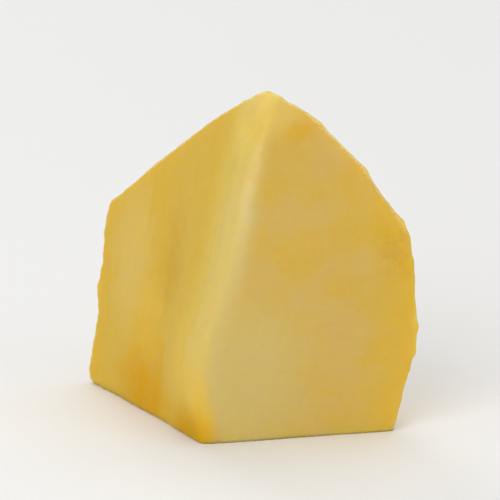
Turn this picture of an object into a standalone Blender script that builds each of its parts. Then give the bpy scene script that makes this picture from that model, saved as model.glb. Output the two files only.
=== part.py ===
"""A wedge of peeled mango, cut from the end of the fruit beside the stone.

The wedge is made the way the real one is. A peeled fruit is shaped, knife cuts
take the wedge out of it, and the rim of the stone has left a hollow down its
inner side. Metres, +Z up. The wedge stands on its flat base cut at z = 0, and
the frame's origin is the middle of its footprint. The front cut faces -Y.
"""

from math import cos, exp, pi, radians, sin

import bmesh
import bpy
from mathutils import Euler, Matrix, Vector, noise

MM = 0.001

# The peeled fruit. Lengths are full sizes, and places are measured from the
# foot of the wedge's front corner: x to the right, y to the back, z up.
FRUIT_LENGTH = 135 * MM
FRUIT_WIDTH = 97.5 * MM
FRUIT_THICKNESS = 70 * MM
FRUIT_CENTRE = Vector((-15.9, -12, -0.3)) * MM
FRUIT_TURN = Euler([radians(angle) for angle in (130, 27, -122.5)])
PEELER_STROKES = 32  # long flats that the peeler left round the fruit
FIRST_STROKE = 0.5  # where they start, in strokes
FRUIT_RINGS = 96

# The knife cuts. A heading is turned from straight ahead (-Y) towards the left
# (-X), and a lean tips the cut face up from upright. The crown and the shoulder
# are deeper strokes of the peeler: one leaves the wedge's point, and the other
# a flat down the right rim.
WEDGE_HEIGHT = 42.2 * MM
WEDGE_DEPTH = 27.8 * MM  # at its foot
FRONT_HEADING = -13
INNER_HEADING = 60
INNER_LEAN = 8.7
BACK_HEADING = 169
BACK_LEAN = -3.5
CROWN_HEADING = 203
CROWN_LEAN = 40
SHOULDER_HEADING = 225
SHOULDER_LEAN = 29
SHOULDER_REACH = 29.5 * MM  # from the foot of the front corner
CORNER_ROUNDING = 1.4 * MM
HEEL_ROUNDING = 1.5 * MM
SHOULDER_ROUNDING = 3.5 * MM
CORNER_SEGMENTS = 8

# The hollow that the rim of the stone left, a soft valley down the inner side.
# It fades out towards its foot and its brow. Higher up it is wider and further
# behind the front cut, in millimetres for each millimetre of height.
HOLLOW_DEPTH = 0.9 * MM
HOLLOW_BEHIND = 11 * MM
HOLLOW_DRIFT = 0.15
HOLLOW_WIDTH = 3.6 * MM
HOLLOW_SPREAD = 0.07
HOLLOW_FOOT = 7 * MM
HOLLOW_BROW = 28 * MM
HOLLOW_FADE = 2.5 * MM

# How the soft flesh strays from the knife: the front corner bows, out below and
# in above, the cut faces wander a little, and the peeled rim is ragged
BOW = 1.9 * MM
BOW_HEIGHT = 12 * MM
BOW_SPAN = 16 * MM
BELLY = 1.1 * MM  # how much further out the corner goes at the height below
BELLY_HEIGHT = 10 * MM
BELLY_REACH = 6 * MM
TUCK = 0.9 * MM  # how far the foot of the corner is drawn in
TUCK_REACH = 4.5 * MM
BOW_REACH = 11 * MM  # how far all these reach back from the front cut
GIVE = 7 * MM  # how far into the flesh the bow, the hollow and the swell are felt
SWELL = 1.8 * MM  # how far the peeled side stands out midway between front and back
SWELL_AT_INNER = 0.4  # the share of it that is left at the inner cut
SWELL_RISE = 14 * MM  # how far in from the inner cut it is whole
WANDER = 0.35 * MM
WANDER_WAVE = 13 * MM
RAGGED = 0.5 * MM
RAGGED_WAVE = 1.6 * MM
RIM_FACING = 0.55  # how squarely the middle of the rim faces the front cut's way
RIM_SPREAD = 0.25

# The mesh
FACING_ALIKE = 0.999  # the cosine between the facings of one and the same cut
OCTREE_DEPTH = 7
SOFTENING = 0.5
RIM_PASSES = 9
VOXEL = 0.3 * MM
SKIN_PASSES = 3
TRIANGLES = 8000
BASE_SHAVING = 0.3 * MM  # taken off below, to leave the base dead flat
ON_PLANE = 0.02 * MM  # points this near a cut are moved onto it
SHARP_ANGLE = 40

FLESH_COLOUR = (0.80, 0.50, 0.09, 1)
FLESH_ROUGHNESS = 0.35


def outward(heading, lean=0):
    """The way that a cut face faces, given its heading and lean in degrees."""
    turn = Euler((radians(-lean), 0, radians(-heading)))
    return turn.to_matrix() @ Vector((0, -1, 0))


FRONT = outward(FRONT_HEADING)
INNER = outward(INNER_HEADING, INNER_LEAN)
BACK = outward(BACK_HEADING, BACK_LEAN)
CROWN = outward(CROWN_HEADING, CROWN_LEAN)
SHOULDER = outward(SHOULDER_HEADING, SHOULDER_LEAN)
DOWN = Vector((0, 0, -1))
SIDEWAYS = (INNER - FRONT * INNER.dot(FRONT)).normalized()  # along the front cut
UPWARD = INNER.cross(FRONT).normalized()  # along both the front and the inner cut
CREST = UPWARD * WEDGE_HEIGHT / UPWARD.z  # the top of the front corner


def clear_scene():
    for obj in list(bpy.data.objects):
        bpy.data.objects.remove(obj)


def new_collection(name):
    collection = bpy.data.collections.new(name)
    bpy.context.scene.collection.children.link(collection)
    return collection


def flesh_material():
    material = bpy.data.materials.new("mango_flesh")
    material.use_nodes = True
    shader = material.node_tree.nodes["Principled BSDF"]
    shader.inputs["Base Color"].default_value = FLESH_COLOUR
    shader.inputs["Roughness"].default_value = FLESH_ROUGHNESS
    shader.inputs["Metallic"].default_value = 0
    return material


def as_object(bm, name, collection):
    mesh = bpy.data.meshes.new(name)
    bm.to_mesh(mesh)
    bm.free()
    obj = bpy.data.objects.new(name, mesh)
    collection.objects.link(obj)
    return obj


def peeled_fruit():
    bm = bmesh.new()
    size = Matrix.Diagonal((FRUIT_WIDTH, FRUIT_THICKNESS, FRUIT_LENGTH, 1))
    place = Matrix.Translation(FRUIT_CENTRE) @ FRUIT_TURN.to_matrix().to_4x4()
    start = Matrix.Rotation(FIRST_STROKE * 2 * pi / PEELER_STROKES, 4, "Z")
    bmesh.ops.create_uvsphere(
        bm,
        u_segments=PEELER_STROKES,
        v_segments=FRUIT_RINGS,
        radius=0.5,
        matrix=place @ size @ start,
    )
    return bm


def knife_cut(bm, point, facing):
    """Takes away all that lies beyond the plane, and closes the cut face."""
    cut = bmesh.ops.bisect_plane(
        bm,
        geom=bm.verts[:] + bm.edges[:] + bm.faces[:],
        dist=ON_PLANE,
        plane_co=point,
        plane_no=facing,
        clear_outer=True,
    )
    rim = [item for item in cut["geom_cut"] if isinstance(item, bmesh.types.BMEdge)]
    bmesh.ops.edgeloop_fill(bm, edges=rim)
    bm.normal_update()


def belongs_to(edge, facing):
    """Whether one of the edge's faces is the cut with this facing."""
    return any(face.normal.dot(facing) > FACING_ALIKE for face in edge.link_faces)


def round_corner(bm, one, other, offset):
    """Softens the corner where two cuts meet, given the ways that they face."""
    corner = [edge for edge in bm.edges if belongs_to(edge, one) and belongs_to(edge, other)]
    bmesh.ops.bevel(
        bm,
        geom=corner,
        offset=offset,
        segments=CORNER_SEGMENTS,
        profile=0.5,
        affect="EDGES",
    )
    bm.normal_update()


def cut_wedge():
    bm = peeled_fruit()
    foot = Vector((0, 0, 0))
    knife_cut(bm, foot, FRONT)
    knife_cut(bm, foot, INNER)
    round_corner(bm, FRONT, INNER, CORNER_ROUNDING)
    knife_cut(bm, CREST, CROWN)
    knife_cut(bm, foot + SHOULDER * SHOULDER_REACH, SHOULDER)
    round_corner(bm, CROWN, SHOULDER, SHOULDER_ROUNDING)
    knife_cut(bm, foot - FRONT * WEDGE_DEPTH, BACK)
    knife_cut(bm, foot, DOWN)
    round_corner(bm, INNER, DOWN, HEEL_ROUNDING)
    return bm


def baked(obj):
    """The object's mesh with its modifiers applied, as a bmesh. The modifiers go."""
    bm = bmesh.new()
    bm.from_object(obj, bpy.context.evaluated_depsgraph_get())
    obj.modifiers.clear()
    bm.normal_update()
    return bm


def smooth(wedge, passes):
    soft = wedge.modifiers.new("Soft", "SMOOTH")
    soft.factor = SOFTENING
    soft.iterations = passes


def soften_rims(wedge):
    """Divides the faces evenly and rounds every rim a little."""
    even = wedge.modifiers.new("Even", "REMESH")
    even.mode = "SHARP"
    even.octree_depth = OCTREE_DEPTH
    smooth(wedge, RIM_PASSES)
    skin = wedge.modifiers.new("Skin", "REMESH")
    skin.mode = "VOXEL"
    skin.voxel_size = VOXEL
    smooth(wedge, SKIN_PASSES)


def bump(distance, reach):
    """1 at no distance, falling softly to nothing some way past its reach."""
    return exp(-((distance / reach) ** 2))


def step_up(distance, fade):
    """0 well short of the place, 1 well past it, and soft between."""
    return 1 / (1 + exp(-distance / fade))


def hollow_at(behind, height):
    middle = HOLLOW_BEHIND + HOLLOW_DRIFT * height
    width = HOLLOW_WIDTH + HOLLOW_SPREAD * height
    above_foot = step_up(height - HOLLOW_FOOT, HOLLOW_FADE)
    below_brow = step_up(HOLLOW_BROW - height, HOLLOW_FADE)
    return HOLLOW_DEPTH * above_foot * below_brow * bump(behind - middle, width)


def bow_at(behind, height):
    bow = BOW * cos((height - BOW_HEIGHT) / BOW_SPAN)
    belly = BELLY * bump(height - BELLY_HEIGHT, BELLY_REACH)
    tuck = TUCK * bump(height, TUCK_REACH)
    return (bow + belly - tuck) * bump(behind, BOW_REACH)


def way_along(distance, length):
    return min(1.0, max(0.0, distance / length))


def swell_at(behind, inside, below):
    """The arch of the peeled side, from the front cut to the back and from the inner cut in."""
    front_to_back = sin(pi * way_along(behind, WEDGE_DEPTH))
    inward = sin(pi / 2 * way_along(inside, SWELL_RISE))
    share = SWELL_AT_INNER + (1 - SWELL_AT_INNER) * inward
    return SWELL * front_to_back * share * bump(max(0.0, below), GIVE)


def strayed(vert):
    """Where the soft flesh puts a point of the clean cut wedge."""
    behind = -vert.co.dot(FRONT)
    height = vert.co.z
    felt = bump(vert.co.dot(INNER), GIVE)
    below = min((CREST - vert.co).dot(CROWN), SHOULDER_REACH - vert.co.dot(SHOULDER))
    upward = UPWARD * swell_at(behind, -vert.co.dot(INNER), below)
    sideways = SIDEWAYS * felt * (bow_at(behind, height) - hollow_at(behind, height))
    off_base = 1 - max(0.0, vert.normal.dot(DOWN))
    off_inner = 1 - max(0.0, vert.normal.dot(INNER))
    on_rim = bump(vert.normal.dot(FRONT) - RIM_FACING, RIM_SPREAD) * off_inner
    wander = WANDER * off_base * noise.noise(vert.co / WANDER_WAVE)
    ragged = RAGGED * on_rim * noise.noise(vert.co / RAGGED_WAVE)
    return vert.co + sideways + upward + vert.normal * (wander + ragged)


def stray(wedge):
    bm = baked(wedge)
    places = [strayed(vert) for vert in bm.verts]
    for vert, place in zip(bm.verts, places):
        vert.co = place
    bm.to_mesh(wedge.data)
    bm.free()


def stand_on_base(wedge):
    """Shaves the base flat, and moves the middle of the footprint to the origin."""
    bm = baked(wedge)
    knife_cut(bm, Vector((0, 0, BASE_SHAVING)), DOWN)
    lows = [min(vert.co[axis] for vert in bm.verts) for axis in range(3)]
    highs = [max(vert.co[axis] for vert in bm.verts) for axis in range(3)]
    middle = Vector(((lows[0] + highs[0]) / 2, (lows[1] + highs[1]) / 2, lows[2]))
    bmesh.ops.translate(bm, verts=bm.verts, vec=-middle)
    bmesh.ops.remove_doubles(bm, verts=bm.verts, dist=ON_PLANE)
    bmesh.ops.triangulate(bm, faces=bm.faces)
    bm.to_mesh(wedge.data)
    bm.free()


def main():
    clear_scene()
    wedge = as_object(cut_wedge(), "mango_slice", new_collection("mango_slice"))
    wedge.data.materials.append(flesh_material())
    soften_rims(wedge)
    stray(wedge)
    thin = wedge.modifiers.new("Thin", "DECIMATE")
    thin.ratio = TRIANGLES / (2 * len(wedge.data.polygons))
    stand_on_base(wedge)
    wedge.data.shade_smooth()
    wedge.data.set_sharp_from_angle(angle=radians(SHARP_ANGLE))


main()
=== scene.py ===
from math import cos, exp, floor, pi, radians, sin
from random import Random

import bmesh
import bpy
from mathutils import Euler, Matrix, Vector, kdtree, noise


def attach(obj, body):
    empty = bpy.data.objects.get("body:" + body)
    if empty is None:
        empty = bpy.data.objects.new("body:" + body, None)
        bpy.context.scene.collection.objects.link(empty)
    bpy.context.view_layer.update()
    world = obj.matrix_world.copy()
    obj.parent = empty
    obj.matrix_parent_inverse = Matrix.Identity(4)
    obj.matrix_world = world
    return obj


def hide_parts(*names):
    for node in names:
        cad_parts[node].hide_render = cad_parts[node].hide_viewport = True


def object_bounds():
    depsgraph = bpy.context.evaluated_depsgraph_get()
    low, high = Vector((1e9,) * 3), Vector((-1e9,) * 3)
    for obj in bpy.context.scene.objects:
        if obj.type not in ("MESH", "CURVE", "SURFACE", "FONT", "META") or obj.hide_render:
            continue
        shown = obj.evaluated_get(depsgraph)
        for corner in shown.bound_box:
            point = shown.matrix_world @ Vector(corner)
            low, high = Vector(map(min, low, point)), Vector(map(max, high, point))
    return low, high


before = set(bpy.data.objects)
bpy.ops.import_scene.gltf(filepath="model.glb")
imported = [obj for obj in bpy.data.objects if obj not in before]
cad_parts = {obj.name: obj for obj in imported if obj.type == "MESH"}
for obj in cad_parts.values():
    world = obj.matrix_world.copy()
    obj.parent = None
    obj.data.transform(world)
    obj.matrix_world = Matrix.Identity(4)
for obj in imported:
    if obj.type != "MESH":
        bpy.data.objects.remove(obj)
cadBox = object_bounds()
mm = 0.001
print("frame loaded, sides in mm:", [round(side / mm, 1) for side in cadBox[1] - cadBox[0]])


# the way a cut looks: turned from straight ahead towards the left, then tipped up
def facing(heading, lean=0):
    return Euler((radians(-lean), 0, radians(-heading))).to_matrix() @ Vector((0, -1, 0))


front = facing(-13)
inner = facing(60, 8.7)
back = facing(169, -3.5)
down = Vector((0, 0, -1))
crestWay = (front + inner).normalized()
grain = Vector((0.19, 0.04, 0.98)).normalized()   # the fibres of the cut flesh, up the front corner
strokes = Vector((0.49, -0.66, 0.57)).normalized()  # the peeler's strokes, along the fruit
acrossStrokes = strokes.cross(Vector((0.3, 0.7, 0.65))).normalized()

wedge = {
    "voxel": 0.25 * mm,         # the faces' size once the skin is even
    "softening": 3,             # how often the whole skin is smoothed
    "peelFacing": (0.3, 0.3, 0.93, 0.75),  # how much the peel may face the front, inner, back and base cuts
    "crestFacing": 0.955,       # the middle of the front corner faces crestWay more than this
    "crestFront": -10.5 * mm,   # and lies in front of this
    "cornerRounds": 55,         # how often the soft front corner is smoothed
    "cornerReach": (1.2 * mm, 4.6 * mm),   # how far from its middle, on the front and on the inner side
    "cornerHeights": (1 * mm, 39 * mm),
    "cornerDown": 0.4,          # and only where the skin faces down less than this
    # the inner side begins softly: how much the skin faces it, and how far it is from the corner's middle
    "innerFacing": (0.2, 0.5),
    "innerAway": (0.6 * mm, 4.5 * mm),
    "baseCut": (0.2 * mm, 0.8),  # it lies below this and faces down more than this
    "hollowFacing": 0.5,        # depth is measured where the skin faces the inner side more than this,
    "hollowReach": 5 * mm,      # this far round a point
    "hollowEvery": 12,          # and on every twelfth point of the mesh
    "strayRoom": 0.3 * mm,      # how far it may leave the CAD's box
    # relief: how high it is, and over what length, or over what length across and along
    "lumps": (0.16 * mm, 7 * mm),
    "dimples": (0.05 * mm, 1.9 * mm),
    "knifeLines": (0.02 * mm, 1.25 * mm),
    "knifeSlant": 0.12,         # how much they climb to the left
    "knifeBend": (0.6, 7 * mm),
    "knifePatches": (8 * mm, -0.2, 0.4),   # their patches: the size, and the noise from none to whole
    "stoneFibres": (0.12 * mm, 1.5 * mm, 14 * mm),
    "fineFibres": (0.03 * mm, 0.7 * mm, 5 * mm),
    "peelerBands": (0.28 * mm, 7.5 * mm),
    "peelerWander": (0.25, 9 * mm),
    "peelerLines": (0.045 * mm, 0.8 * mm, 14 * mm),
    "rimTears": (0.3 * mm, 1.1 * mm),
    "rimWaves": (0.8 * mm, 3.4 * mm),
    "rimWaveDetail": (0.6, 2.1, 2),        # the fractal's increment, lacunarity and octaves
    "rimWavesBegin": (4 * mm, 12 * mm),    # the heights from no waves to whole ones
    "rimWavesEnd": (28 * mm, 20 * mm),
    "rimWidth": 0.8 * mm,
    "wornRim": 1.2 * mm,        # how wide the rim is smoothed after the relief
    "rimSoftening": 1,
    # where a kind of relief begins and is whole, by how much the skin faces that way; the base has none
    "onFront": (0.8, 0.97),
    "onBack": (0.9, 0.98),
    "onInner": (0.6, 0.9),
    "onRim": (0.15, 0.6),
    "onBase": (0.7, 0.95),
    "onPeel": (0.9 * mm, 0.2 * mm),        # by how far it is from the peeled side
    # where in the noise a pattern starts, so that no two are alike
    "starts": {
        "lumps": Vector((3, 1, 7)),
        "knifePatches": Vector((9, 2, 4)),
        "stoneFibres": Vector((5, 0, 0)),
        "rimTears": Vector((1, 6, 2)),
        "rimWaves": Vector((4, 2, 7)),
    },
    # the swell just right of the point: height, reach, middle and way
    "shoulder": (0.6 * mm, 3.6 * mm, Vector((5.8, -12.3, 37.6)) * mm, Vector((0.53, 0.12, 0.84))),
    # the torn bits on the rim
    "tornBitFacing": (0.4, 0.8),            # they sit where the skin faces the front this much
    "tornBitTurned": (0.2, 0.3),            # and the inner side and the base less than this
    "tornBitHeights": (1 * mm, 36 * mm),
    "tornBits": 0.7 * mm,                   # how far apart they are
    "tornBitSpread": (0.8, 1.9),            # that gap is this much shorter or longer
    "tornBitSize": (0.22 * mm, 0.46 * mm),
    "tornBitFlatness": 0.6,                 # the thinnest, as a share of its length
    "tornBitSunk": (0.45, 0.8),             # how deep they sit, as a share of their size
    "seed": 7,
}


# 0 at low, 1 at high, soft between
def fade(low, high, x):
    t = min(1, max(0, (x - low) / (high - low)))
    return t * t * (3 - 2 * t)


# a copy of a CAD node's mesh, its loose triangles joined
def merged(node):
    bm = bmesh.new()
    bm.from_mesh(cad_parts[node].data)
    bmesh.ops.remove_doubles(bm, verts=bm.verts, dist=0.002 * mm)
    return bm


def asPiece(name, bm):
    mesh = bpy.data.meshes.new(name)
    bm.to_mesh(mesh)
    bm.free()
    piece = bpy.data.objects.new(name, mesh)
    bpy.context.scene.collection.objects.link(piece)
    return piece


# the mesh with its modifiers in it
def applied(piece):
    bm = bmesh.new()
    bm.from_object(piece, bpy.context.evaluated_depsgraph_get())
    piece.modifiers.clear()
    return bm


# little torn beads of flesh along the rim between the front cut and the peeled side
def addTornBits(bm):
    draw = Random(wedge["seed"])
    least, most = wedge["tornBitFacing"]
    mostInner, mostDown = wedge["tornBitTurned"]
    low, high = wedge["tornBitHeights"]
    rim = [(vert.co.copy(), vert.normal.copy()) for vert in bm.verts
           if least < vert.normal.dot(front) < most and vert.normal.dot(inner) < mostInner
           and vert.normal.dot(down) < mostDown and low < vert.co.z < high]
    draw.shuffle(rim)
    gap, spread, thinnest = wedge["tornBits"], wedge["tornBitSpread"], wedge["tornBitFlatness"]
    kept = []
    for place, normal in rim:
        if all((place - other).length > gap * draw.uniform(*spread) for other in kept):
            kept.append(place)
            size = draw.uniform(*wedge["tornBitSize"])
            turn = Euler([draw.uniform(0, pi) for axis in range(3)]).to_matrix().to_4x4()
            flatness = [draw.uniform(thinnest, 1) for axis in range(2)]
            shape = Matrix.Diagonal((size, size * flatness[0], size * flatness[1], 1))
            middle = Matrix.Translation(place - normal * size * draw.uniform(*wedge["tornBitSunk"]))
            bmesh.ops.create_icosphere(bm, subdivisions=2, radius=1, matrix=middle @ turn @ shape)
    return len(kept)


def smooth(bm, verts):
    bmesh.ops.smooth_vert(bm, verts=verts, factor=0.5, use_axis_x=True, use_axis_y=True, use_axis_z=True)


# the same shape with small, even faces all over
def evenSkin(bm):
    piece = asPiece("even", bm)
    remesh = piece.modifiers.new("even", "REMESH")
    remesh.mode = "VOXEL"
    remesh.voxel_size = wedge["voxel"]
    even = applied(piece)
    bpy.data.objects.remove(piece)
    for turn in range(wedge["softening"]):
        smooth(even, even.verts)
    even.normal_update()
    return even


# how far each point is from the nearest point of a chosen kind
def distances(bm, chosen):
    tree = kdtree.KDTree(len(chosen))
    for index, vert in enumerate(chosen):
        tree.insert(vert.co, index)
    tree.balance()
    return [tree.find(vert.co)[2] for vert in bm.verts]


# on the peeled side, which faces none of the cuts
def isPeeled(vert):
    cuts = (front, inner, back, down)
    return all(vert.normal.dot(cut) < most for cut, most in zip(cuts, wedge["peelFacing"]))


# on the middle line of the soft front corner
def isCrest(vert):
    return vert.normal.dot(crestWay) > wedge["crestFacing"] and vert.co.y < wedge["crestFront"]


# smooth noise drawn out along one way
def streaks(point, way, across, along):
    lengthwise = way * point.dot(way)
    return noise.noise((point - lengthwise) / across + lengthwise / along)


# how far each point is from the middle of the front corner, and whether on the inner side of it
def fromCorner(bm):
    far = distances(bm, [vert for vert in bm.verts if isCrest(vert)])
    return far, [vert.normal.dot(inner) > vert.normal.dot(front) for vert in bm.verts]


# how far the flesh round each point of the inner side stands above it, on average
def hollows(bm):
    tree = kdtree.KDTree(len(bm.verts))
    for index, vert in enumerate(bm.verts):
        if index % wedge["hollowEvery"] == 0:
            tree.insert(vert.co, index)
    tree.balance()
    depth = []
    for vert in bm.verts:
        measured = vert.normal.dot(inner) > wedge["hollowFacing"]
        near = tree.find_range(vert.co, wedge["hollowReach"]) if measured else []
        around = sum(((place - vert.co).dot(vert.normal) for place, index, away in near), 0)
        depth.append(around / max(1, len(near)))
    return depth


# wears the front corner down to a soft, wide roll, less and less away from its middle
def rollCorner(bm):
    far, innerSide = fromCorner(bm)
    low, high = wedge["cornerHeights"]
    rounds = wedge["cornerRounds"]
    for turn in range(rounds):
        share = 1 - turn / rounds
        reach = [reach * share for reach in wedge["cornerReach"]]
        smooth(bm, [vert for vert, away, left in zip(bm.verts, far, innerSide)
                    if away < reach[left] and low < vert.co.z < high
                    and vert.normal.dot(down) < wedge["cornerDown"]])
    bm.normal_update()


# how far out each point goes, along its normal; skin is its distance from the peeled side
def relief(vert, skin):
    point, normal, starts = vert.co, vert.normal, wedge["starts"]
    onCut = max(fade(*wedge["onFront"], normal.dot(front)), fade(*wedge["onBack"], normal.dot(back)))
    onInner = fade(*wedge["onInner"], normal.dot(inner))
    onBase = fade(*wedge["onBase"], normal.dot(down))
    onPeel = fade(*wedge["onPeel"], skin)
    height, wave = wedge["lumps"]
    out = height * noise.noise(point / wave + starts["lumps"])
    height, wave = wedge["dimples"]
    out += height * noise.noise(point / wave)
    wave, low, high = wedge["knifePatches"]
    patchy = fade(low, high, noise.noise(point / wave + starts["knifePatches"]))
    most, wave = wedge["knifeBend"]
    bend = most * noise.noise(point / wave)
    height, wave = wedge["knifeLines"]
    climb = point.z + wedge["knifeSlant"] * point.x
    out += height * onCut * patchy * sin(2 * pi * (climb / wave + bend))
    height, across, along = wedge["stoneFibres"]
    out -= height * onInner * abs(streaks(point + starts["stoneFibres"], grain, across, along))
    height, across, along = wedge["fineFibres"]
    out += height * (1 - onPeel) * streaks(point, grain, across, along)
    most, wave = wedge["peelerWander"]
    height, width = wedge["peelerBands"]
    strip = point.dot(acrossStrokes) / width + most * noise.noise(point / wave)
    strip -= floor(strip)
    out -= height * onPeel * 4 * strip * (1 - strip)   # deepest in the middle of a strip
    height, across, along = wedge["peelerLines"]
    out += height * onPeel * streaks(point, strokes, across, along)
    height, wave = wedge["rimTears"]
    onRim = fade(*wedge["onRim"], normal.dot(front) + 0.5 * normal.dot(inner))
    nearRim = exp(-(skin / wedge["rimWidth"]) ** 2) * onRim
    out += height * nearRim * noise.noise(point / wave + starts["rimTears"])
    height, wave = wedge["rimWaves"]
    wavy = fade(*wedge["rimWavesBegin"], point.z) * fade(*wedge["rimWavesEnd"], point.z)
    torn = noise.fractal(point / wave + starts["rimWaves"], *wedge["rimWaveDetail"])
    out += height * nearRim * wavy * torn
    return out * (1 - onBase)


# the soft swell of the rim just right of the wedge's point
def swell(point):
    height, reach, middle, way = wedge["shoulder"]
    return way * height * exp(-((point - middle).length / reach) ** 2)


# no further outside the CAD's box than strayRoom
def keptInBox(point):
    low, high = cadBox
    room = wedge["strayRoom"]
    return Vector([min(high[axis] + room, max(low[axis] - room, point[axis])) for axis in range(3)])


def makeWedge():
    raw = merged("mango_slice")
    raw.normal_update()
    bits = addTornBits(raw)
    print("torn bits along the rim:", bits)
    bm = evenSkin(raw)
    skin = distances(bm, [vert for vert in bm.verts if isPeeled(vert)])
    rollCorner(bm)
    far, innerSide = fromCorner(bm)
    # from the corner's middle: more than 0 on the front, less than 0 on the inner side, where it counts half
    corner = [-0.5 * away if left else away for away, left in zip(far, innerSide)]
    moved = [vert.co + swell(vert.co) + vert.normal * relief(vert, toSkin)
             for vert, toSkin in zip(bm.verts, skin)]
    highest, least = wedge["baseCut"]
    flat = [vert.co.z < highest and vert.normal.dot(down) > least for vert in bm.verts]
    for vert, place, onBase in zip(bm.verts, moved, flat):
        vert.co = keptInBox(place)
        vert.co.z = 0 if onBase else max(0, vert.co.z)
    worn = [vert for vert, toSkin, onBase in zip(bm.verts, skin, flat)
            if toSkin < wedge["wornRim"] and not onBase]
    for turn in range(wedge["rimSoftening"]):
        smooth(bm, worn)
    bm.normal_update()
    hollow = hollows(bm)
    print("deepest hollow and highest ridge in mm:", round(max(hollow) / mm, 2), round(min(hollow) / mm, 2))
    toInner = [fade(*wedge["innerFacing"], vert.normal.dot(inner)) * fade(*wedge["innerAway"], away)
               if left else 0 for vert, away, left in zip(bm.verts, far, innerSide)]
    piece = asPiece("wedge_flesh", bm)
    # what the material reads: lengths in millimetres, and toInner from 0 to 1
    for name, values in (("skin", skin), ("corner", corner), ("hollow", hollow), ("toInner", toInner)):
        layer = piece.data.attributes.new(name, "FLOAT", "POINT")
        scale = 1 if name == "toInner" else 1 / mm
        layer.data.foreach_set("value", [value * scale for value in values])
    piece.data.shade_smooth()
    return piece


# one output of a shader node; sums and products of them add Math nodes
class Flow:
    def __init__(self, tree, socket=None):
        self.tree = tree
        self.socket = socket

    def node(self, kind, settings=None, sockets=None, out=0):
        made = self.tree.nodes.new(kind)
        for name, value in (settings or {}).items():
            setattr(made, name, value)
        for name, value in (sockets or {}).items():
            if isinstance(value, Flow):
                self.tree.links.new(value.socket, made.inputs[name])
            else:
                made.inputs[name].default_value = value
        return Flow(self.tree, made.outputs[out])

    def maths(self, operation, *values):
        return self.node("ShaderNodeMath", {"operation": operation}, dict(enumerate(values)))

    def vector(self, operation, *values, out=0):
        return self.node("ShaderNodeVectorMath", {"operation": operation}, dict(enumerate(values)), out)

    def __add__(self, other):
        return self.maths("ADD", self, other)

    def __sub__(self, other):
        return self.maths("SUBTRACT", self, other)

    def __rsub__(self, other):
        return self.maths("SUBTRACT", other, self)

    def __mul__(self, other):
        return self.maths("MULTIPLY", self, other)

    __radd__ = __add__
    __rmul__ = __mul__

    # 0 at low, 1 at high, soft between
    def step(self, low, high):
        sockets = {"Value": self, "From Min": low, "From Max": high}
        return self.node("ShaderNodeMapRange", {"interpolation_type": "SMOOTHSTEP"}, sockets)

    def noise(self, scale, detail, roughness, out=0):
        sockets = {"Vector": self, "Scale": scale, "Detail": detail, "Roughness": roughness}
        return self.node("ShaderNodeTexNoise", None, sockets, out)

    # the same place with lengths along one way made shorter, so that a pattern on it is drawn out
    def drawnOut(self, way, times):
        lengthwise = self.vector("DOT_PRODUCT", self, tuple(way), out=1) * (1 / times - 1)
        threefold = self.node("ShaderNodeCombineXYZ", None, {0: lengthwise, 1: lengthwise, 2: lengthwise})
        return self.vector("ADD", self, self.vector("MULTIPLY", tuple(way), threefold))

    # 1 in the middle of a soft patch, 0 outside it; all in millimetres
    def patch(self, middle, reach):
        off = self.vector("DIVIDE", self.vector("SUBTRACT", self, middle), reach)
        return self.vector("LENGTH", off, out=1).step(1.0, 0.15)

    # this colour with another laid over it where the mask is
    def mix(self, mask, colour):
        sockets = {"Factor": mask, 6: self, 7: colour}
        return self.node("ShaderNodeMix", {"data_type": "RGBA", "clamp_factor": True}, sockets, 2)


# a colour as it looks on the screen, each channel from 0 to 255
def shade(*channels):
    return tuple(((c / 255 + 0.055) / 1.055) ** 2.4 for c in channels) + (1,)


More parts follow.
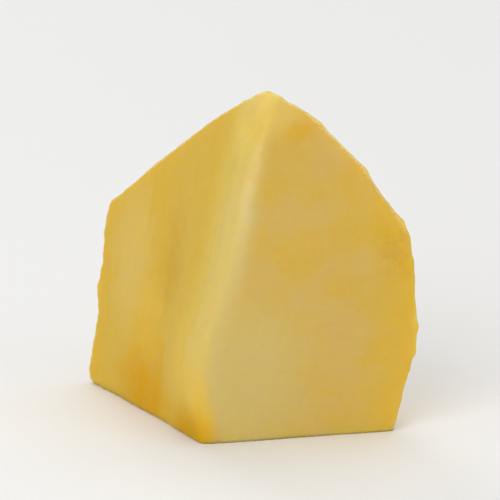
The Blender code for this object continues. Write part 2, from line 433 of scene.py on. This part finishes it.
flesh = {
    "gold": shade(213, 178, 82),
    "beige": shade(211, 180, 101),
    "lowBeige": shade(210, 188, 117),
    "rimGold": shade(220, 181, 50),
    "rimDeep": shade(206, 158, 40),
    # along the soft corner: partly painted highlight; the pale one is also used for pale mottling
    "crestGoldHighlight": shade(220, 192, 87),
    "crestLow": shade(222, 184, 46),
    "paleMottleAndCrestHighlight": shade(213, 193, 122),
    # at the point: painted highlight; the pale one is also used for pale fibres
    "paleFibreAndTipHighlight": shade(226, 202, 118),
    "tipHighlightGold": shade(230, 206, 108),
    "innerGold": shade(218, 180, 66),
    "innerBeige": shade(221, 190, 100),
    "innerLow": shade(230, 188, 72),
    "innerStreak": shade(228, 180, 44),
    # painted shade for the hollow down the inner side
    "valley": shade(208, 164, 60),
    "orange": shade(214, 158, 4),
    "amber": shade(206, 154, 0),
    "spot": shade(218, 172, 34),
    "rimPaleHighlight": shade(242, 212, 150),
    "peeled": shade(226, 182, 54),
    "peelPale": shade(234, 204, 104),
    "peelDeep": shade(222, 166, 36),
    # a painted highlight: the pale wet streak on the corner
    "paintedWetHighlight": shade(236, 220, 172),
    "speck": shade(196, 146, 48),
    "roughness": 0.4,
    "specular": 0.06,
    "coatRoughness": 0.16,
    "scatter": 0.7,
    "scatterRadius": (1.0, 0.65, 0.22),
    "scatterScale": 3 * mm,
    "bumpStrength": 0.6,
    "bumpDepth": 0.14 * mm,
    "wobble": 3.0,              # how far the edge of a colour wanders, in millimetres from side to side
    "warp": 5,                  # and how far the edge of a warped patch does
    # the noise on the flesh: waves in a millimetre, detail and roughness
    "noises": {
        "drift": (0.16, 2, 0.5),
        "swirl": (0.3, 2, 0.5),
        "wet": (0.35, 2, 0.5),
        "cloud": (0.45, 3, 0.55),
        "mottle": (1.1, 3, 0.6),
        "cells": (2.6, 3, 0.6),
        "fibre": (1.3, 3, 0.6),
        "fineFibre": (3.5, 2, 0.6),
        "peelStrip": (0.9, 3, 0.6),
        "peelBlush": (0.3, 2, 0.5),
    },
    # how many times longer than wide these are
    "drawn": {"fibre": 7, "fineFibre": 6, "peelStrip": 9, "peelBlush": 2.5},
    # soft patches of colour: the middle and the reach of each in millimetres, its colour and its strength
    "patches": {
        "frontLow": ((-1.5, -13.7, 8), (13, 9, 16), "lowBeige", 0.88),
        "farRidge": ((-14, 5.1, 17), (5, 8, 13), "innerBeige", 0.9),
        "innerLow": ((-13.2, -1.9, 11), (4, 7, 7), "innerLow", 0.7),
        "valleyLow": ((-11, -5.7, 10.5), (2, 4, 8), "innerStreak", 0.7),
        "innerFoot": ((-12.5, -1.9, 1), (10, 9, 10), "orange", 0.95),
        # brighter patches at the corner's top and the point: painted highlight
        "crestTopHighlight": ((-1.1, -12.5, 36.5), (2.4, 4, 5), "tipHighlightGold", 0.7),
        "besideTipHighlight": ((3.4, -12.8, 37.8), (3.4, 4, 3.6), "tipHighlightGold", 0.4),
        "tipHighlight": ((1.0, -13.1, 40.5), (3.5, 4, 4.2), "paleFibreAndTipHighlight", 0.7),
        "spot": ((5.4, -12.5, 36.2), (2.6, 3, 2.0), "spot", 0.65),
        "rimRight": ((16.2, -9.8, 21.5), (3.2, 4, 5), "rimDeep", 0.6),
    },
    # how strongly the other colours are laid on, from 0 to 1
    "strengths": {
        "rimGold": 0.7,
        "innerGold": 0.85,
        "valley": 0.8,
        "crestGoldHighlight": 0.85,
        "crestLow": 0.75,
        "paleMottleAndCrestHighlight": 0.8,
        "paleMottle": 0.14,
        "deepMottle": 0.12,
        "paleFibres": 0.12,
        "deepCells": 0.14,
        "peeled": 0.75,
        "peelPale": 0.25,
        "peelDeep": 0.4,
        "peelStreaks": 0.15,
        "rimSpecks": 0.35,
        "paintedWetHighlight": 0.2,
    },
    # the amber at the foot of the soft corner, and the juice along it, glossier and with a painted highlight
    # in its colour
    "crestFoot": {"middle": (-7.6, -13, -1), "reach": (6.5, 8, 8), "strength": 1.2, "ragged": 0.4},
    "juiceHighlight": {"middle": (-0.1, -13.8, 29.0), "across": (1, 0.2, -0.16), "up": (0, 0, 1)},
}


# the colour with one of the flesh's soft patches laid over it
def patched(colour, name, place, mask=1):
    middle, reach, over, strength = flesh["patches"][name]
    return colour.mix(place.patch(middle, reach) * (mask * strength), flesh[over])


def fleshMaterial():
    material = bpy.data.materials.new("mango_flesh")
    material.use_nodes = True
    tree = material.node_tree
    shader = tree.nodes["Principled BSDF"]
    start = Flow(tree)
    noises, drawn, strengths = flesh["noises"], flesh["drawn"], flesh["strengths"]
    inMetres = start.node("ShaderNodeTexCoord", out=3)   # the piece's own Object coordinates
    place = start.node("ShaderNodeVectorMath", {"operation": "SCALE"}, {0: inMetres, "Scale": 1 / mm})
    skin = start.node("ShaderNodeAttribute", {"attribute_name": "skin"}, out=2)
    corner = start.node("ShaderNodeAttribute", {"attribute_name": "corner"}, out=2)
    hollow = start.node("ShaderNodeAttribute", {"attribute_name": "hollow"}, out=2)
    toInner = start.node("ShaderNodeAttribute", {"attribute_name": "toInner"}, out=2)
    height = start.node("ShaderNodeSeparateXYZ", None, {0: place}, 2)

    # from here on all lengths are in millimetres
    drift = place.noise(*noises["drift"])
    cloud = place.noise(*noises["cloud"])
    mottle = place.noise(*noises["mottle"])
    cells = place.noise(*noises["cells"])
    wobble = (cloud - 0.5) * flesh["wobble"]
    swirl = place.vector("SUBTRACT", place.noise(*noises["swirl"], out=1), (0.5, 0.5, 0.5))
    warped = place.vector("ADD", place, place.vector("MULTIPLY", swirl, (flesh["warp"],) * 3))
    fibre = place.drawnOut(grain, drawn["fibre"]).noise(*noises["fibre"])
    fineFibre = place.drawnOut(grain, drawn["fineFibre"]).noise(*noises["fineFibre"])
    onPeel = skin.step(0.5, 0.1)

    # the front cut, beige low down by the corner and golden towards the peel
    goldToBeige = {"Factor": drift.step(0.35, 0.65), 6: flesh["gold"], 7: flesh["beige"]}
    colour = start.node("ShaderNodeMix", {"data_type": "RGBA"}, goldToBeige, 2)
    colour = patched(colour, "frontLow", warped)
    golden = (skin + wobble).step(8, 0.5) * height.step(34, 22)
    colour = colour.mix(golden * strengths["rimGold"], flesh["rimGold"])
    # the inner side, golden, with painted shade down its hollow, paler on its far ridge, a warm streak low
    # in the hollow and orange towards its foot
    colour = colour.mix(toInner * strengths["innerGold"], flesh["innerGold"])
    colour = patched(colour, "farRidge", warped, toInner)
    # painted shade: darker, deeper gold where the skin lies below the flesh round it
    valleyShadeMask = (hollow + (cloud - 0.5) * 0.15).step(0.05, 0.4)
    colour = colour.mix(valleyShadeMask * toInner * strengths["valley"], flesh["valley"])
    colour = patched(colour, "innerLow", warped, toInner)
    colour = patched(colour, "valleyLow", place, toInner)
    colour = patched(colour, "innerFoot", warped, toInner)
    # the soft corner with a band of painted highlight, gold and pale, and painted highlight at its top and
    # tip; the orange spot and the deep gold near the rim
    beside = corner + wobble * 0.15
    # a band of painted highlight, brighter gold, along the corner's middle
    crestHighlightBand = beside.step(-3.2, -1.0) * beside.step(1.6, 0)
    colour = colour.mix(crestHighlightBand * strengths["crestGoldHighlight"], flesh["crestGoldHighlight"])
    colour = colour.mix(crestHighlightBand * height.step(20, 6) * strengths["crestLow"], flesh["crestLow"])
    # paler on the corner's middle and front side: painted highlight
    pale = beside.step(-1.2, 0.4) * (beside + height.step(24, 32) * 0.8).step(3.0, 0.8)
    pale = pale * height.step(0, 14) * height.step(40, 27)
    colour = colour.mix(pale * strengths["paleMottleAndCrestHighlight"], flesh["paleMottleAndCrestHighlight"])
    colour = patched(colour, "crestTopHighlight", place)
    colour = patched(colour, "besideTipHighlight", place)
    colour = patched(colour, "tipHighlight", warped)
    colour = patched(colour, "spot", place)
    colour = patched(colour, "rimRight", warped, mottle.step(0.35, 0.6))
    # faint mottling, fibres and specks, and the amber at the corner's foot
    colour = colour.mix(mottle.step(0.5, 0.72) * strengths["paleMottle"], flesh["paleMottleAndCrestHighlight"])
    colour = colour.mix(mottle.step(0.5, 0.3) * strengths["deepMottle"], flesh["spot"])
    colour = colour.mix(fibre.step(0.55, 0.75) * toInner * strengths["paleFibres"], flesh["paleFibreAndTipHighlight"])
    colour = colour.mix(cells.step(0.42, 0.28) * strengths["deepCells"], flesh["spot"])
    amber = flesh["crestFoot"]
    foot = place.patch(amber["middle"], amber["reach"]) * amber["strength"]
    foot = (foot + (mottle - 0.5) * amber["ragged"]).step(0, amber["strength"])
    colour = colour.mix(foot, flesh["amber"])
    # the peeled side, and the torn rim pale, partly its own thin flesh and partly painted highlight, most
    # towards the top
    strip = place.drawnOut(strokes, drawn["peelStrip"]).noise(*noises["peelStrip"])
    blush = place.drawnOut(strokes, drawn["peelBlush"]).noise(*noises["peelBlush"])
    colour = colour.mix(onPeel * strengths["peeled"], flesh["peeled"])
    colour = colour.mix(onPeel * blush.step(0.5, 0.7) * strengths["peelPale"], flesh["peelPale"])
    colour = colour.mix(onPeel * blush.step(0.5, 0.3) * strengths["peelDeep"], flesh["peelDeep"])
    colour = colour.mix(onPeel * strip.step(0.5, 0.75) * strengths["peelStreaks"], flesh["peelPale"])
    colour = colour.mix(onPeel * strip.step(0.48, 0.3) * strengths["peelStreaks"], flesh["peelDeep"])
    rim = (skin + (cells - 0.5) * 1.6).step(0.75, 0.25) * (1 - onPeel)
    colour = colour.mix(rim * (height.step(18, 32) * 0.6 + 0.3), flesh["rimPaleHighlight"])
    colour = colour.mix(rim * cells.step(0.44, 0.36) * strengths["rimSpecks"], flesh["speck"])
    # juice standing along the corner: glossier, with a pale painted highlight laid into its colour
    juiceHighlight = flesh["juiceHighlight"]
    fromJuice = place.vector("SUBTRACT", place, juiceHighlight["middle"])
    aside = place.vector("DOT_PRODUCT", fromJuice, juiceHighlight["across"], out=1) + (cloud - 0.5) * 2
    upward = place.vector("DOT_PRODUCT", fromJuice, juiceHighlight["up"], out=1) + wobble
    wetHighlightStreak = aside.step(-1.4, 0.0) * aside.step(1.1, 0.1) * upward.step(-9, -2) * upward.step(8, 4)
    wetHighlightStreak = wetHighlightStreak * mottle.step(0.15, 0.55) * (1 - toInner) * corner.step(4, 3)
    colour = colour.mix(wetHighlightStreak * strengths["paintedWetHighlight"], flesh["paintedWetHighlight"])

    # how wet and how rough it is, and its finest relief
    wet = place.noise(*noises["wet"]).step(0.45, 0.65) * (1 - toInner * 0.7)
    sheen = flesh["roughness"] + (cells - 0.5) * 0.3 - wet * 0.06 - wetHighlightStreak * 0.15 + toInner * 0.1
    grains = (cells * 0.45 + mottle * 0.5) * (1 - onPeel * 0.4)
    bumps = fibre * toInner * 0.4 + fineFibre * toInner * 0.3 + grains
    depth = {"Strength": flesh["bumpStrength"], "Distance": flesh["bumpDepth"], "Height": bumps}
    bump = start.node("ShaderNodeBump", None, depth)
    gloss = wet * 0.25 + wetHighlightStreak * 0.25 + beside.step(-3, -1) * beside.step(3, 1) * 0.25 + onPeel * 0.45
    gloss = gloss * (1 - toInner * 0.7) * (1 - foot * 0.9)
    tree.links.new(colour.socket, shader.inputs["Base Color"])
    tree.links.new(sheen.socket, shader.inputs["Roughness"])
    tree.links.new(gloss.socket, shader.inputs["Coat Weight"])
    tree.links.new(bump.socket, shader.inputs["Normal"])
    shader.inputs["Specular IOR Level"].default_value = flesh["specular"]
    shader.inputs["Coat Roughness"].default_value = flesh["coatRoughness"]
    shader.inputs["Subsurface Weight"].default_value = flesh["scatter"]
    shader.inputs["Subsurface Radius"].default_value = flesh["scatterRadius"]
    shader.inputs["Subsurface Scale"].default_value = flesh["scatterScale"]
    return material


piece = makeWedge()
print("wedge made,", len(piece.data.polygons), "faces")
piece.data.materials.append(fleshMaterial())
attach(piece, "root")
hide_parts("mango_slice")

studio = {
    "floorColour": (0.93, 0.93, 0.925, 1),
    "floorRoughness": 0.6,
    "floorHalf": 1.2,           # in metres, from its middle to its edge
    "coveRadius": 0.5,
    "coveSteps": 16,
    "world": (1.0, 0.99, 0.97, 1),
    "worldStrength": 0.45,
    # the lights: power in watts, way from the wedge, distance and side in metres
    "key": (2.2, (-0.36, -0.72, 0.55), 0.75, 0.5),
    "fill": (0.6, (0.7, -0.6, 0.4), 0.8, 0.6),
    "top": (1.6, (0.2, 0.3, 1.0), 0.8, 0.6),
    "back": (0.8, (-0.3, 0.8, 0.55), 0.8, 0.3),
    "strip": (0.15, (-0.08, -1.0, 0.16), 0.55, 0.14),
}


# a pale floor that curves up behind into a backdrop
def makeFloor():
    half, radius = studio["floorHalf"], studio["coveRadius"]
    bm = bmesh.new()
    bmesh.ops.create_grid(bm, x_segments=1, y_segments=1, size=half)
    far = [edge for edge in bm.edges if all(vert.co.y > half * 0.9 for vert in edge.verts)]
    spun = bmesh.ops.spin(bm, geom=far, cent=(0, half, radius), axis=(1, 0, 0), angle=pi / 2,
                          steps=studio["coveSteps"])
    wall = [item for item in spun["geom_last"] if isinstance(item, bmesh.types.BMEdge)]
    raised = bmesh.ops.extrude_edge_only(bm, edges=wall)
    top = [item for item in raised["geom"] if isinstance(item, bmesh.types.BMVert)]
    bmesh.ops.translate(bm, verts=top, vec=(0, 0, half))
    ground = asPiece("floor", bm)
    ground.data.shade_smooth()
    material = bpy.data.materials.new("floor_pale")
    material.use_nodes = True
    shader = material.node_tree.nodes["Principled BSDF"]
    shader.inputs["Base Color"].default_value = studio["floorColour"]
    shader.inputs["Roughness"].default_value = studio["floorRoughness"]
    ground.data.materials.append(material)


# a square light that looks at the wedge's foot and isn't seen itself
def softLight(name, power, way, distance, side):
    lamp = bpy.data.lights.new(name, "AREA")
    lamp.energy = power
    lamp.size = side
    light = bpy.data.objects.new(name, lamp)
    way = Vector(way).normalized()
    light.location = way * distance
    light.rotation_euler = way.to_track_quat("Z", "Y").to_euler()
    light.visible_camera = False
    bpy.context.scene.collection.objects.link(light)


makeFloor()
for name in ("key", "fill", "top", "back", "strip"):
    softLight(name, *studio[name])
world = bpy.data.worlds.new("studio")
world.use_nodes = True
sky = world.node_tree.nodes["Background"]
sky.inputs["Color"].default_value = studio["world"]
sky.inputs["Strength"].default_value = studio["worldStrength"]
bpy.context.scene.world = world
bpy.context.scene.view_settings.view_transform = "Standard"
print("floor and lights set")

view = {
    "elevation": 15,            # in degrees
    "distance": 0.6,            # in metres
    "aim": Vector((0, 0, 19 * mm)),
    "frame": 58 * mm,           # how much the picture takes in, at the wedge
    "sensor": 36,               # in millimetres
    "clipStart": 0.01,
}


def makeCamera():
    lens = bpy.data.cameras.new("camera")
    lens.sensor_width = view["sensor"]
    lens.lens = view["sensor"] * view["distance"] / view["frame"]
    lens.clip_start = view["clipStart"]
    camera = bpy.data.objects.new("camera", lens)
    tilt = radians(view["elevation"])
    camera.location = view["aim"] + Vector((0, -cos(tilt), sin(tilt))) * view["distance"]
    camera.rotation_euler = (pi / 2 - tilt, 0, 0)
    bpy.context.scene.collection.objects.link(camera)
    bpy.context.scene.camera = camera


makeCamera()
